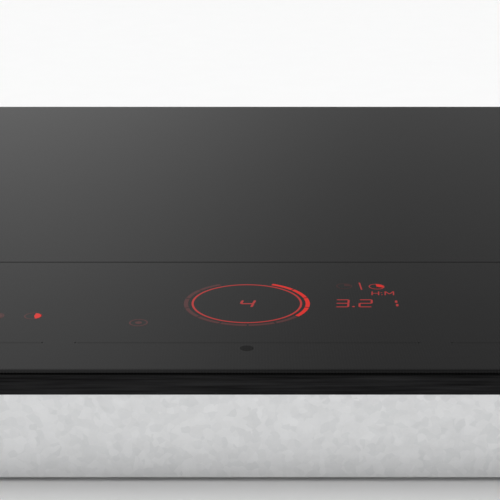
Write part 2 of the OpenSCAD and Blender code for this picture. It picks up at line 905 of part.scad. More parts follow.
clamp_screw(corners[0]);  // clamp_screw_1
clamp_screw(corners[1]);  // clamp_screw_2
clamp_screw(corners[2]);  // clamp_screw_3
clamp_screw(corners[3]);  // clamp_screw_4
clamp_nut(corners[0]);  // clamp_nut_1
clamp_nut(corners[1]);  // clamp_nut_2
clamp_nut(corners[2]);  // clamp_nut_3
clamp_nut(corners[3]);  // clamp_nut_4
clamp_arm(corners[0]);  // clamp_arm_1
clamp_arm(corners[1]);  // clamp_arm_2
clamp_arm(corners[2]);  // clamp_arm_3
clamp_arm(corners[3]);  // clamp_arm_4
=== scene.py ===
"""Looks of a built-in induction hob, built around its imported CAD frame. Metres, +Z up, user at -Y."""

import json
import math

import bmesh
import bpy
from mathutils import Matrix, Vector


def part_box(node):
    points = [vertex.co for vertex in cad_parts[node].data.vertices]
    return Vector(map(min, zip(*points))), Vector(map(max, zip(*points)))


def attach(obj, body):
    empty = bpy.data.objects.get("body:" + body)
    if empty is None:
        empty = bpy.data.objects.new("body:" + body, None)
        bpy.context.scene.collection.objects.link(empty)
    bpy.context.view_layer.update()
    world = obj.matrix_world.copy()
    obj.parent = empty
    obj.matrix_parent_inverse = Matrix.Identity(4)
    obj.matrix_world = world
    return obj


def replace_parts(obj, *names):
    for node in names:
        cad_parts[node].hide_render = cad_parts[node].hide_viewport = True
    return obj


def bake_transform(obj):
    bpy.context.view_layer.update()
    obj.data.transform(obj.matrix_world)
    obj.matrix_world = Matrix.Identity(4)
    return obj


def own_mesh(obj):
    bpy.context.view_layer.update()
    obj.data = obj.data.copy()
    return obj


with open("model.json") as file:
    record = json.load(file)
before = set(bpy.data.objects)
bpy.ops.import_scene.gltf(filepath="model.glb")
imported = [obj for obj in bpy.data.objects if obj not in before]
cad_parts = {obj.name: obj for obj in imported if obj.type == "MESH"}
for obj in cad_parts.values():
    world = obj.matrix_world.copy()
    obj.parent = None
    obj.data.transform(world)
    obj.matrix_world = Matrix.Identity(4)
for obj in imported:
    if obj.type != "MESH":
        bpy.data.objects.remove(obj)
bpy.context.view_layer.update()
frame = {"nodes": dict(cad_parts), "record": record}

MM = 0.001
NODES = frame["nodes"]
GLASS_LOW, GLASS_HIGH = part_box("glass_plate")
GLASS_TOP = GLASS_HIGH.z
EDGE_RUN = 1.8 * MM
GLASS_FRONT = GLASS_LOW.y + EDGE_RUN

# ---------------------------------------------------------------- materials


class Finish:
    """One material: a Principled surface and the nodes that vary it. Constants sit on its own sockets."""

    def __init__(self, name, colour, roughness, metallic=0.0, **sockets):
        self.material = bpy.data.materials.new(name)
        self.material.use_nodes = True
        self.tree = self.material.node_tree
        self.surface = self.tree.nodes["Principled BSDF"]
        self.colour = colour
        self.set("Base Color", (*colour, 1))
        self.set("Roughness", roughness)
        self.set("Metallic", metallic)
        for socket, value in sockets.items():
            self.set(socket.replace("_", " "), value)
        self.coords = self.add("TexCoord").outputs["Object"]

    def set(self, socket, value):
        self.put(self.surface.inputs[socket], value)

    def put(self, socket, value):
        if isinstance(value, bpy.types.NodeSocket):
            self.tree.links.new(value, socket)
        else:
            socket.default_value = value

    def add(self, kind, inputs=(), **settings):
        node = self.tree.nodes.new("ShaderNode" + kind)
        for key, value in settings.items():
            setattr(node, key, value)
        for socket, value in dict(inputs).items():
            self.put(node.inputs[socket], value)
        return node

    def stretched(self, scale, turn=(0, 0, 0)):
        """Object coordinates, scaled by a different amount along each axis."""
        mapping = self.add("Mapping", {"Vector": self.coords, "Scale": scale, "Rotation": turn})
        return mapping.outputs["Vector"]

    def noise(self, scale, detail=3.0, stretch=None, warp=0.0):
        vector = self.stretched(stretch) if stretch else self.coords
        node = self.add("TexNoise", {"Vector": vector, "Scale": scale, "Detail": detail, "Distortion": warp})
        return node.outputs["Fac"]

    def cells(self, scale, feature="F1", output="Distance", vector=None):
        node = self.add("TexVoronoi", {"Vector": vector or self.coords, "Scale": scale}, feature=feature)
        return node.outputs[output]

    def level(self, value, low, high, to_low, to_high, smooth=False):
        kind = "SMOOTHSTEP" if smooth else "LINEAR"
        inputs = {"Value": value, "From Min": low, "From Max": high, "To Min": to_low, "To Max": to_high}
        return self.add("MapRange", inputs, interpolation_type=kind).outputs["Result"]

    def math(self, operation, a, b=0.0):
        return self.add("Math", {0: a, 1: b}, operation=operation).outputs["Value"]

    def vector(self, operation, a, b=(0, 0, 0), output="Vector"):
        return self.add("VectorMath", {0: a, 1: b}, operation=operation).outputs[output]

    def axis(self, name, vector=None):
        return self.add("SeparateXYZ", {"Vector": vector or self.coords}).outputs[name]

    def mix(self, share, a, b):
        node = self.add("Mix", data_type="RGBA")
        for index, value in ((0, share), (6, a), (7, b)):
            if isinstance(value, tuple) and len(value) == 3:
                value = (*value, 1)
            self.put(node.inputs[index], value)
        return node.outputs[2]

    def shades(self, share, *stops):
        """A colour ramp through (position, colour) stops."""
        ramp = self.add("ValToRGB", {"Fac": share})
        while len(ramp.color_ramp.elements) < len(stops):
            ramp.color_ramp.elements.new(0.5)
        for element, (position, colour) in zip(ramp.color_ramp.elements, stops):
            element.position, element.color = position, (*colour, 1)
        return ramp.outputs["Color"]

    def bump(self, height, depth, strength=1.0):
        node = self.add("Bump", {"Height": height, "Distance": depth, "Strength": strength})
        self.set("Normal", node.outputs["Normal"])
        return self


def tint(colour, factor):
    return tuple(c * factor for c in colour)


def glass_finish(name="glass_ceramic", colour=(0.001, 0.001, 0.0011), roughness=0.14, level=0.5, dot=0.012):
    """Black glass-ceramic with a fine dot print under its smooth surface."""
    f = Finish(name, colour, roughness, IOR=1.5, Specular_IOR_Level=level)
    pitch = 1.24 * MM
    grid = f.vector("MULTIPLY", f.coords, (1 / pitch, 1 / pitch, 0))
    cell = f.vector("SUBTRACT", f.vector("FRACTION", grid), (0.5, 0.5, 0))
    from_middle = f.vector("LENGTH", f.vector("MULTIPLY", cell, (1, 1, 0)), output="Value")
    dots = f.level(from_middle, 0.20, 0.30, 1.0, 0.0, smooth=True)
    cloud = f.level(f.noise(9.0, 2.0), 0.35, 0.65, 0.7, 1.0)
    share = f.math("MULTIPLY", dots, cloud)
    f.set("Base Color", f.mix(share, colour, (dot, dot, dot)))
    return f


def brushed_finish(name, colour, roughness, along, metallic=1.0, contrast=0.35, depth=0.01 * MM, fine=1.0):
    """Metal brushed or rolled along one axis of the row frame."""
    f = Finish(name, colour, roughness, metallic)
    stretch = tuple(30.0 if axis == along else 1100.0 * fine for axis in "xyz")
    broad = tuple(12.0 if axis == along else 260.0 * fine for axis in "xyz")
    streak = f.noise(1.0, 3.0, stretch)
    band = f.noise(1.0, 2.0, broad)
    both = f.math("ADD", f.math("MULTIPLY", streak, 0.6), f.math("MULTIPLY", band, 0.4))
    f.set("Base Color", f.mix(f.level(both, 0.36, 0.66, 0.0, 1.0), tint(colour, 1 - contrast),
                              tint(colour, 1 + contrast)))
    f.set("Roughness", f.level(both, 0.3, 0.7, roughness * 0.8, roughness * 1.25))
    return f.bump(streak, depth, 0.5)


def galvanised_finish():
    """Skin-passed galvanised sheet, as used for housings: faint crystals under a rolled matt surface."""
    f = Finish("galvanised_sheet", (0.74, 0.75, 0.755), 0.42, 1.0)
    wander = f.add("TexNoise", {"Vector": f.coords, "Scale": 90.0, "Detail": 3.0}).outputs["Color"]
    bent = f.vector("ADD", f.coords, f.vector("MULTIPLY", wander, (0.007, 0.007, 0.007)))
    crystal = f.cells(330.0, output="Color", vector=bent)
    shade = f.axis("X", crystal)
    feather = f.noise(320.0, 4.0, warp=1.5)
    cloud = f.noise(14.0, 3.0)
    both = f.math("ADD", f.math("MULTIPLY", shade, 0.45),
                  f.math("ADD", f.math("MULTIPLY", feather, 0.3), f.math("MULTIPLY", cloud, 0.25)))
    f.set("Base Color", f.shades(both, (0.2, (0.71, 0.72, 0.725)), (0.5, (0.76, 0.765, 0.77)),
                                 (0.8, (0.80, 0.805, 0.81))))
    f.set("Roughness", f.level(f.axis("Y", crystal), 0.0, 1.0, 0.38, 0.46))
    return f.bump(feather, 0.02 * MM, 0.3)


def zinc_finish():
    """Bright zinc plate with a faint yellow and blue cast and a fine matt grain."""
    f = Finish("zinc_plate", (0.66, 0.66, 0.63), 0.28, 1.0)
    cast = f.noise(110.0, 3.0, warp=0.8)
    f.set("Base Color", f.shades(cast, (0.3, (0.60, 0.62, 0.66)), (0.5, (0.68, 0.67, 0.63)),
                                 (0.7, (0.70, 0.66, 0.54))))
    f.set("Roughness", f.level(f.noise(900.0, 2.0), 0.3, 0.7, 0.2, 0.38))
    return f.bump(f.noise(1400.0, 3.0), 0.01 * MM, 0.5)


def moulded_finish(name, colour, roughness, grain=2600.0, depth=0.02 * MM, **sockets):
    """Moulded plastic with a fine eroded grain and slight flow marks."""
    f = Finish(name, colour, roughness, **sockets)
    grains = f.cells(grain, "SMOOTH_F1")
    flow = f.noise(26.0, 3.0, warp=1.0)
    f.set("Base Color", f.mix(f.level(flow, 0.3, 0.7, 0.0, 1.0), tint(colour, 0.85), tint(colour, 1.18)))
    f.set("Roughness", f.level(f.noise(300.0, 2.0), 0.3, 0.7, roughness * 0.88, roughness * 1.12))
    return f.bump(grains, depth, 0.5)


def speckled_finish(name, colour, roughness, scale, spots, amount=0.25, depth=0.03 * MM, **sockets):
    """Pressed or fired powder: a matt body with fine speckles."""
    f = Finish(name, colour, roughness, **sockets)
    grain = f.noise(scale, 5.0)
    f.set("Base Color", f.mix(f.level(grain, 0.55, 0.7, 0.0, amount), colour, spots))
    f.set("Roughness", f.level(grain, 0.3, 0.7, roughness * 0.85, min(1.0, roughness * 1.15)))
    return f.bump(grain, depth, 0.6)


def litz_finish():
    """Enamelled copper litz: fine strands that run round the winding with a slow twist."""
    f = Finish("litz_copper", (0.62, 0.23, 0.09), 0.38, 1.0)
    strands = f.cells(1900.0, "SMOOTH_F1", vector=f.stretched((1, 1, 2.2), (0.5, 0.35, 0.6)))
    age = f.noise(45.0, 3.0)
    f.set("Base Color", f.mix(f.level(age, 0.35, 0.65, 0.0, 1.0), (0.50, 0.16, 0.06), (0.74, 0.31, 0.13)))
    f.set("Roughness", f.level(strands, 0.0, 0.6, 0.28, 0.55))
    return f.bump(strands, 0.12 * MM, 0.9)


def felt_finish(name, colour, scale=500.0, depth=0.25 * MM):
    """Fibre felt: crossed matted fibres."""
    f = Finish(name, colour, 0.95, Sheen_Weight=0.25, Sheen_Roughness=0.6)
    one = f.noise(1.0, 4.0, (scale * 0.25, scale, scale), 0.6)
    two = f.noise(1.0, 4.0, (scale, scale * 0.25, scale), 0.6)
    both = f.math("MAXIMUM", one, two)
    f.set("Base Color", f.mix(f.level(both, 0.4, 0.75, 0.0, 1.0), tint(colour, 0.7), tint(colour, 1.1)))
    return f.bump(both, depth, 0.8)


def foam_finish():
    """Black closed-cell foam, with painted shade darkening each pore's hollow."""
    f = Finish("seal_foam", (0.02, 0.02, 0.021), 0.85)
    pores = f.cells(1500.0)
    # Painted shade: the colour is darkest at the pore centres, where the bump dips.
    shade = f.level(pores, 0.1, 0.6, 0.0, 1.0)
    f.set("Base Color", f.mix(shade, (0.010, 0.010, 0.011), (0.034, 0.034, 0.036)))
    return f.bump(pores, 0.2 * MM, 0.8)


def board_finish():
    """Green solder mask over copper tracks, with tinned pads."""
    f = Finish("circuit_board", (0.01, 0.10, 0.04), 0.32, Coat_Weight=0.4, Coat_Roughness=0.2)
    tracks = f.add("TexBrick", {"Vector": f.coords, "Scale": 1.0, "Mortar Size": 0.0005,
                                "Brick Width": 0.017, "Row Height": 0.0042, "Mortar Smooth": 0.1},
                   offset=0.37).outputs["Fac"]
    fill = f.level(f.cells(70.0, output="Distance"), 0.35, 0.42, 0.0, 1.0)
    pads = f.level(f.cells(230.0), 0.16, 0.2, 1.0, 0.0)
    mask = f.mix(f.math("MULTIPLY", tracks, fill), (0.008, 0.085, 0.035), (0.03, 0.20, 0.08))
    f.set("Base Color", f.mix(pads, mask, (0.62, 0.60, 0.55)))
    f.set("Metallic", pads)
    return f.bump(f.math("MAXIMUM", tracks, pads), 0.04 * MM, 0.6)


def wire_finish(name, colour, stripe=None):
    """Extruded PVC insulation, with an optional second colour wound along it."""
    f = Finish(name, colour, 0.38)
    draw = f.noise(1.0, 3.0, (900, 60, 900))
    shade = f.mix(f.level(draw, 0.35, 0.65, 0.0, 1.0), tint(colour, 0.85), tint(colour, 1.1))
    if stripe:
        wave = f.add("TexWave", {"Vector": f.coords, "Scale": 55.0}, bands_direction="DIAGONAL")
        shade = f.mix(f.level(wave.outputs["Fac"], 0.48, 0.52, 0.0, 1.0), shade, stripe)
    f.set("Base Color", shade)
    return f.bump(draw, 0.02 * MM, 0.4)


def sleeve_finish():
    """Braided glass-fibre sleeving over the coil leads, with painted shade in the hollows between the
    strands.
    """
    f = Finish("lead_sleeve", (0.78, 0.74, 0.62), 0.7, Sheen_Weight=0.3)
    one = f.add("TexWave", {"Vector": f.stretched((1, 1, 1), (0.6, 0.6, 0)), "Scale": 320.0}).outputs["Fac"]
    turned = f.stretched((1, 1, 1), (-0.6, -0.6, 0))
    two = f.add("TexWave", {"Vector": turned, "Scale": 320.0}).outputs["Fac"]
    braid = f.math("MAXIMUM", one, two)
    # Painted shade: the colour is darker where both strands dip, in the hollows that the bump also lowers.
    f.set("Base Color", f.mix(braid, (0.50, 0.46, 0.36), (0.86, 0.82, 0.70)))
    return f.bump(braid, 0.15 * MM, 0.8)


def ribbon_finish():
    """Flat cable: a pale film with a conductor every millimetre."""
    f = Finish("ribbon_tape", (0.72, 0.72, 0.70), 0.3, Coat_Weight=0.5)
    line = f.math("FRACT", f.math("MULTIPLY", f.axis("X"), 1000.0))
    cores = f.level(f.math("ABSOLUTE", f.math("SUBTRACT", line, 0.5)), 0.22, 0.30, 1.0, 0.0)
    f.set("Base Color", f.mix(cores, (0.74, 0.74, 0.72), (0.52, 0.50, 0.47)))
    return f.bump(cores, 0.08 * MM, 0.6)


def glow_finish(name, glow, roughness=0.14, strength=1.0):
    """A lit part of the display, seen through the glass."""
    f = Finish(name, (0.004, 0.0035, 0.0035), roughness, IOR=1.5)
    f.set("Emission Color", (*glow, 1))
    f.set("Emission Strength", strength)
    speck = f.noise(2500.0, 1.0)
    f.set("Base Color", f.mix(speck, (0.003, 0.0025, 0.0025), (0.006, 0.005, 0.005)))
    return f


FINISHES = {
    "glass_ceramic": glass_finish(),
    "black_frame": brushed_finish("black_frame", (0.0135, 0.0135, 0.0138), 0.36, "x", contrast=0.65),
    "black_frame_y": brushed_finish("black_frame_y", (0.0135, 0.0135, 0.0138), 0.36, "y", contrast=0.65),
    "galvanised_sheet": galvanised_finish(),
    "spring_steel": brushed_finish("spring_steel", (0.36, 0.35, 0.33), 0.3, "x", contrast=0.2),
    "zinc_plate": zinc_finish(),
    "deck_aluminium": brushed_finish("deck_aluminium", (0.78, 0.78, 0.79), 0.34, "y", contrast=0.1),
    "heat_sink_aluminium": brushed_finish("heat_sink_aluminium", (0.72, 0.72, 0.73), 0.4, "y", contrast=0.15),
    "litz_copper": litz_finish(),
    "coil_former": speckled_finish("coil_former", (0.50, 0.42, 0.28), 0.6, 400.0, (0.68, 0.60, 0.42)),
    "ferrite": speckled_finish("ferrite", (0.035, 0.034, 0.036), 0.55, 1500.0, (0.10, 0.10, 0.11)),
    "fibre_blanket": felt_finish("fibre_blanket", (0.76, 0.72, 0.64)),
    "sensor_ceramic": speckled_finish("sensor_ceramic", (0.82, 0.80, 0.76), 0.35, 700.0, (0.66, 0.64, 0.60)),
    "circuit_board": board_finish(),
    "component_body": moulded_finish("component_body", (0.03, 0.05, 0.12), 0.45),
    "black_plastic": moulded_finish("black_plastic", (0.022, 0.022, 0.024), 0.5),
    "rotor_plastic": moulded_finish("rotor_plastic", (0.05, 0.05, 0.052), 0.4, 1800.0),
    "light_guide": moulded_finish("light_guide", (0.72, 0.72, 0.74), 0.25, 900.0, Subsurface_Weight=0.1),
    "display_module": moulded_finish("display_module", (0.028, 0.018, 0.018), 0.3, 3000.0),
    "ribbon_tape": ribbon_finish(),
    "seal_foam": foam_finish(),
    "silicone": moulded_finish("silicone", (0.05, 0.05, 0.052), 0.42, 1100.0, 0.05 * MM),
    "terminal_plastic": moulded_finish("terminal_plastic", (0.30, 0.31, 0.32), 0.48),
    "wire_insulation": wire_finish("wire_insulation", (0.16, 0.06, 0.025)),
    "lead_sleeve": sleeve_finish(),
    "motor_steel": brushed_finish("motor_steel", (0.50, 0.50, 0.50), 0.3, "x", contrast=0.15),
}


def coat(piece, *finishes):
    piece.data.materials.clear()
    for finish in finishes:
        piece.data.materials.append(finish.material)


def coat_by_place(piece, finishes, choose):
    """Gives each face the finish whose index choose(face centre) returns."""
    coat(piece, *finishes)
    for face in piece.data.polygons:
        face.material_index = choose(face.center)


def in_box(point, x, y, width, depth):
    """Whether a point is in a rectangle given in millimetres, on either side of the hob."""
    return abs(abs(point.x) / MM - x) <= width / 2 + 0.1 and abs(point.y / MM - y) <= depth / 2 + 0.1


def coat_components():
    """Film capacitors, relays, electrolytic cans, wound chokes and transistors each get their own finish."""
    film = moulded_finish("film_capacitor", (0.42, 0.30, 0.05), 0.4, 1500.0)
    relay = moulded_finish("relay_case", (0.03, 0.05, 0.12), 0.4)
    can = moulded_finish("capacitor_sleeve", (0.03, 0.035, 0.05), 0.3)
    lid = brushed_finish("capacitor_lid", (0.70, 0.70, 0.71), 0.35, "x", contrast=0.1)
    epoxy = speckled_finish("transistor_case", (0.02, 0.02, 0.02), 0.5, 1800.0, (0.05, 0.05, 0.05))
    winding = brushed_finish("choke_winding", (0.60, 0.24, 0.09), 0.35, "z", contrast=0.4)
    cans = ((170, 75), (170, 50), (170, 25), (165, -95), (140, -95))
    chokes = ((202, 60), (202, 15), (180, -45), (205, 145))
    relays = ((235, -50, 20, 15), (235, -75, 20, 15), (205, -100, 36, 30))

    def choose(point):
        if any(in_box(point, x, y, 18, 18) for x, y in cans):
            return 3 if point.z > 33 * MM else 2
        if any(in_box(point, x, y, 34, 34) for x, y in chokes):
            return 5
        if any(in_box(point, *relay_box) for relay_box in relays):
            return 1
        return 4 if in_box(point, 75, 40, 40, 130) else 0

    coat_by_place(NODES["power_components"], (film, relay, can, lid, epoxy, winding), choose)


def coat_wires():
    """Earth, neutral and three phases, from left to right."""
    green, yellow, blue = (0.07, 0.35, 0.05), (0.75, 0.62, 0.03), (0.02, 0.09, 0.42)
    brown, black, grey = (0.16, 0.06, 0.025), (0.012, 0.012, 0.012), (0.24, 0.24, 0.24)
    wires = ((green, yellow), (blue, None), (brown, None), (black, None), (grey, None))
    finishes = [wire_finish("wire_%d" % i, colour, stripe) for i, (colour, stripe) in enumerate(wires)]
    wire_radius, spacing = 1.7 * MM, 12.8 * MM
    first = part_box("mains_wires")[0].x + wire_radius
    coat_by_place(NODES["mains_wires"], finishes,
                  lambda point: max(0, min(len(wires) - 1, round((point.x - first) / spacing))))


def coat_frame():
    for part in frame["record"]["subparts"]:
        node = part["node"]
        name = part["material_slot"]
        if node in ("frame_left", "frame_right"):
            name = "black_frame_y"
        coat(NODES[node], FINISHES[name])


# ---------------------------------------------------------------- building pieces


def new_piece(name, mesh, body, finish):
    """An object from a finished mesh. A piece that bends across a joint has no body of its own."""
    mesh.normal_update()
    data = bpy.data.meshes.new(name)
    mesh.to_mesh(data)
    mesh.free()
    piece = bpy.data.objects.new(name, data)
    bpy.context.scene.collection.objects.link(piece)
    coat(piece, finish)
    if body:
        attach(piece, body)
    return piece


def add_prism(mesh, outline, low, high):
    """A closed prism over an outline that runs anticlockwise."""
    bottom = [mesh.verts.new((x, y, low)) for x, y in outline]
    top = [mesh.verts.new((x, y, high)) for x, y in outline]
    count = len(outline)
    mesh.faces.new(bottom[::-1])
    mesh.faces.new(top)
    for i in range(count):
        j = (i + 1) % count
        mesh.faces.new((bottom[i], bottom[j], top[j], top[i]))


def add_ring(mesh, loops):
    """A closed tube: loops is a list of point rings, one for each point of its section, in order."""
    rows = [[mesh.verts.new(p) for p in loop] for loop in loops]
    count = len(rows[0])
    for k, row in enumerate(rows):
        following = rows[(k + 1) % len(rows)]
        for i in range(count):
            j = (i + 1) % count
            mesh.faces.new((row[i], row[j], following[j], following[i]))


# ---------------------------------------------------------------- marks on the glass

MARK_LOW = GLASS_TOP - 0.02 * MM
MARK_HIGH = GLASS_TOP + 0.03 * MM


def on_glass(x, depth):
    """A point on the glass, from millimetres right of the middle and behind the glass's front."""
    return x * MM, GLASS_FRONT + depth * MM


def arc(x, depth, radius, start, end, steps):
    return [on_glass(x + radius * math.cos(math.radians(a)), depth + radius * math.sin(math.radians(a)))
            for a in (start + (end - start) * i / steps for i in range(steps + 1))]


def add_rectangle(mesh, left, right, near, far):
    add_prism(mesh, [on_glass(left, near), on_glass(right, near), on_glass(right, far), on_glass(left, far)],
              MARK_LOW, MARK_HIGH)


def add_band(mesh, x, depth, inner, outer, start, end, steps):
    """A part of a flat ring, as one closed prism."""
    add_prism(mesh, arc(x, depth, outer, start, end, steps) + arc(x, depth, inner, end, start, steps),
              MARK_LOW, MARK_HIGH)


def add_hoop(mesh, x, depth, inner, outer, steps=96):
    """A whole flat ring."""
    loops = []
    for radius, z in ((inner, MARK_LOW), (outer, MARK_LOW), (outer, MARK_HIGH), (inner, MARK_HIGH)):
        ring = [on_glass(x + radius * math.cos(a), depth + radius * math.sin(a))
                for a in (2 * math.pi * i / steps for i in range(steps))]
        loops.append([(px, py, z) for px, py in ring])
    add_ring(mesh, loops)


def add_bar(mesh, start, end, width):
    """A straight bar with pointed ends."""
    a, b = Vector(start), Vector(end)
    along = (b - a).normalized()
    side = Vector((-along.y, along.x)) * width / 2
    tip = along * width / 2
    corners = [a - tip * 0.2, a + tip * 0.8 - side, b - tip * 0.8 - side, b + tip * 0.2,
               b - tip * 0.8 + side, a + tip * 0.8 + side]
    add_prism(mesh, [on_glass(*c) for c in corners], MARK_LOW, MARK_HIGH)


def add_dot(mesh, x, depth, radius, steps=20):
    add_prism(mesh, arc(x, depth, radius, 0, 360 - 360 / steps, steps - 1), MARK_LOW, MARK_HIGH)


SEGMENTS = {"a": ((0, 2), (1, 2)), "b": ((1, 2), (1, 1)), "c": ((1, 1), (1, 0)), "d": ((0, 0), (1, 0)),
            "e": ((0, 1), (0, 0)), "f": ((0, 2), (0, 1)), "g": ((0, 1), (1, 1))}


def add_digit(mesh, lit, x, depth, width, height, slant, stroke):
    for name in lit:
        ends = []
        for column, row in SEGMENTS[name]:
            up = row * height / 2
            ends.append((x + column * width + slant * up, depth + up))
        add_bar(mesh, *ends, stroke)


def add_strokes(mesh, x, depth, width, height, strokes):
    """Thin strokes between points given as shares of a small box."""
    for ends in strokes:
        add_bar(mesh, *[(x + a * width + 0.1 * b * height, depth + b * height) for a, b in ends], 0.55)


def add_wedge(mesh, x, depth, radius, start, end, steps=12):
    add_prism(mesh, [on_glass(x, depth)] + arc(x, depth, radius, start, end, steps), MARK_LOW, MARK_HIGH)


def display_marks():
    """The lit and unlit parts of the display: ring control, digits and timer icons."""
    bright, line, digits = bmesh.new(), bmesh.new(), bmesh.new()
    dim, faint = bmesh.new(), bmesh.new()
    ring_depth = 73.9
    add_hoop(line, 0, ring_depth, 23.8, 24.75, 160)
    lit_segments, pitch, gap = 4, 25.75, 1.7
    for k in range(12):
        start = 64.5 - k * pitch
        mesh = bright if k < lit_segments else dim
        add_band(mesh, 0, ring_depth, 26.3, 28.2, start - pitch + gap, start, 12)
    add_digit(digits, "fgbc", -3.5, ring_depth - 5.2, 5.5, 8.4, 0.2, 1.1)
    add_digit(digits, "abgcd", 39.6, 68.9, 5.4, 9.0, 0.1, 0.9)
    add_digit(digits, "abged", 50.0, 68.9, 5.4, 9.0, 0.1, 0.9)
    add_dot(digits, 47.4, 69.2, 0.65)
    for low, high in ((69.5, 72.5), (74.0, 77.0)):
        add_bar(digits, (66.9, low), (67.2, high), 1.1)
    add_bar(digits, (52.6, 101.2), (52.9, 91.2), 0.7)
    add_strokes(digits, 57.0, 84.0, 3.0, 5.0, (((0, 0), (0, 1)), ((1, 0), (1, 1)), ((0, 0.5), (1, 0.5))))
    for depth in (84.6, 87.4):
        add_dot(digits, 61.6, depth, 0.35)
    add_strokes(digits, 63.0, 84.0, 3.8, 5.0,
                (((0, 0), (0, 1)), ((0, 1), (0.5, 0.3)), ((0.5, 0.3), (1, 1)), ((1, 1), (1, 0))))
    add_hoop(digits, 60.2, 95.6, 3.2, 3.65, 40)
    add_wedge(bright, 60.3, 95.6, 3.0, -25, 95)
    add_hoop(faint, 45.2, 96.2, 3.2, 3.65, 40)
    add_wedge(faint, 45.3, 96.2, 3.0, 0, 90)
    add_hoop(dim, -93.0, 57.6, 3.4, 3.95, 40)
    add_wedge(bright, -92.6, 57.6, 3.3, -75, 85)
    add_hoop(dim, -109.6, 57.6, 3.4, 3.95, 40)
    add_wedge(dim, -109.4, 57.6, 3.0, -75, 85)
    add_hoop(dim, -46.5, 49.6, 3.4, 4.05, 40)
    add_dot(dim, -46.5, 49.6, 1.5)
    glows = (("display_bright", bright, (0.62, 0.006, 0.0)),
             ("display_ring_line", line, (0.40, 0.014, 0.012)),
             ("display_digits", digits, (0.36, 0.018, 0.018)),
             ("display_dim", dim, (0.058, 0.010, 0.010)),
             ("display_faint", faint, (0.030, 0.003, 0.003)))
    for name, mesh, glow in glows:
        new_piece(name, mesh, "hob", glow_finish(name, glow))


def printed_lines():
    """The matt lines printed on the glass, its sensor dot and the ends of the touch line."""
    half = (GLASS_HIGH.x - EDGE_RUN) / MM - 0.4
    touch_middles, touch_half = (-155.3, 0.2, 155.7), 70.0
    matt = glass_finish("matt_print", (0.001,) * 3, 0.3, 0.1)
    fine = glass_finish("fine_print", (0.001,) * 3, 0.2, 0.38)
    dark = glass_finish("dark_print", (0.001,) * 3, 0.3, 0.15)
    mesh = bmesh.new()
    add_rectangle(mesh, -half, half, 130.6, 132.0)
    new_piece("boundary_line", mesh, "hob", matt)
    mesh = bmesh.new()
    for middle in touch_middles:
        add_rectangle(mesh, middle - touch_half, middle + touch_half, 26.6, 27.6)
    new_piece("touch_line", mesh, "hob", fine)
    mesh = bmesh.new()
    for middle in touch_middles:
        for side in (-1, 1):
            add_dot(mesh, middle + side * (touch_half + 0.9), 27.1, 0.5)
    add_dot(mesh, 0.1, 21.0, 2.8, 40)
    new_piece("touch_dots", mesh, "hob", dark)


# ---------------------------------------------------------------- soft parts


def rounded_box_path(half_x, half_y, radius, steps=6):
    """Points round a rectangle with rounded corners, anticlockwise."""
    points = []
    for k, (sx, sy) in enumerate(((1, 1), (-1, 1), (-1, -1), (1, -1))):
        centre = Vector((sx * (half_x - radius), sy * (half_y - radius)))
        for i in range(steps + 1):
            a = math.radians(90 * (k + i / steps))
            points.append((centre.x + radius * math.cos(a), centre.y + radius * math.sin(a)))
    return points


def add_strip(mesh, section, half_x, half_y, corner):
    """A strip run round the hob: section is a list of (distance in, height) points, in order."""
    add_ring(mesh, [[(x, y, height) for x, y in rounded_box_path(half_x - inward, half_y - inward, corner)]
                    for inward, height in section])


def crowned_section(outer, inner, low, high, bulge, steps=5):
    """The section of a soft strip: flat top and bottom, with sides that belly out between them."""
    points = []
    middle, half = (low + high) / 2, (high - low) / 2
    for side, edge in ((1, inner), (-1, outer)):
        for i in range(steps + 1):
            a = -math.pi / 2 + math.pi * i / steps
            points.append((edge + side * bulge * (math.cos(a) - 1), middle + side * half * math.sin(a)))
    return points


def smooth(piece):
    for face in piece.data.polygons:
        face.use_smooth = True
    return piece


def soft_strips():
    """The foam seal under the frame, and the silicone under and round the glass."""
    low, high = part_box("worktop_seal")
    mesh = bmesh.new()
    add_strip(mesh, crowned_section(0, 10 * MM, low.z, high.z, 0.9 * MM), high.x, high.y, 1.5 * MM)
    seal = smooth(new_piece("foam_seal", mesh, "hob", FINISHES["seal_foam"]))
    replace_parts(seal, "worktop_seal")
    low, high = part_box("glass_adhesive")
    bead_in, bead_top = 6.35 * MM, GLASS_LOW.z
    mesh = bmesh.new()
    bead = crowned_section(bead_in, bead_in + 8 * MM, low.z, bead_top, 0.3 * MM)
    gasket = crowned_section(0, 0.7 * MM, low.z, high.z, 0.15 * MM)
    add_strip(mesh, bead, high.x, high.y, 1 * MM)
    add_strip(mesh, gasket, high.x, high.y, 0.6 * MM)
    silicone = smooth(new_piece("silicone_beads", mesh, "hob", FINISHES["silicone"]))
    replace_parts(silicone, "glass_adhesive")


def coil_pads():
    """Fibre pads over the coils, with rounded rims and a slightly uneven top."""
    for side in ("left", "right"):
        low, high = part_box("coil_blankets_" + side)
        radius = (high.x - low.x) / 2
        mesh = bmesh.new()
        for y in (low.y + radius, high.y - radius):
            add_pad(mesh, (low.x + high.x) / 2, y, 8.5 * MM, radius, low.z, high.z)
        pad = smooth(new_piece("fibre_pads_" + side, mesh, "deck_" + side, FINISHES["fibre_blanket"]))
        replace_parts(pad, "coil_blankets_" + side)


